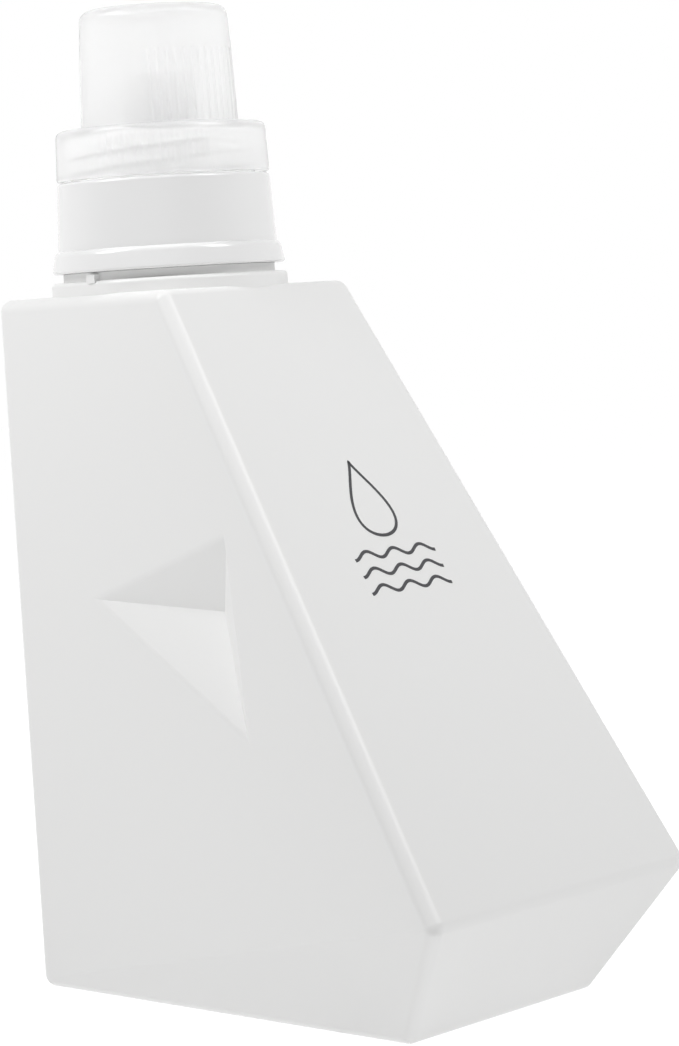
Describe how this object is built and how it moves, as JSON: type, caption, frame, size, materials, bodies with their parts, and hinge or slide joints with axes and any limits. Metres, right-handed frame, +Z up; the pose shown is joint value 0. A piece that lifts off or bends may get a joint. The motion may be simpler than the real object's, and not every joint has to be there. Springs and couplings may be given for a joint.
{
  "type": "laundry detergent dispenser",
  "caption": "Wedge-shaped blown bottle with a sloping front, a finger dimple on each side, a screwed pour spout and a translucent measuring cap.",
  "frame": {"origin": "on the floor, under the middle of the body's box", "axes": "+Z up along the neck, the sloping front faces -Y, +X to the right as seen from behind the camera at the front"},
  "size_m": [0.085, 0.134, 0.2156],
  "materials": {
    "bottle_shell": "satin white blown polyethylene",
    "spout_white": "glossy opaque white polypropylene",
    "cap_clear": "translucent natural polypropylene"
  },
  "bodies": {
    "bottle": {"bottle": "bottle_shell"},
    "spout": {"pour_spout": "spout_white"},
    "cap": {"measuring_cap": "cap_clear"}
  },
  "joints": [
    {"name": "spout_lift", "type": "slide", "parent": "bottle", "child": "spout", "axis": [0, 0, 1], "range_m": [0, 0.025]},
    {"name": "cap_lift", "type": "slide", "parent": "spout", "child": "cap", "axis": [0, 0, 1], "range_m": [0, 0.03]}
  ]
}
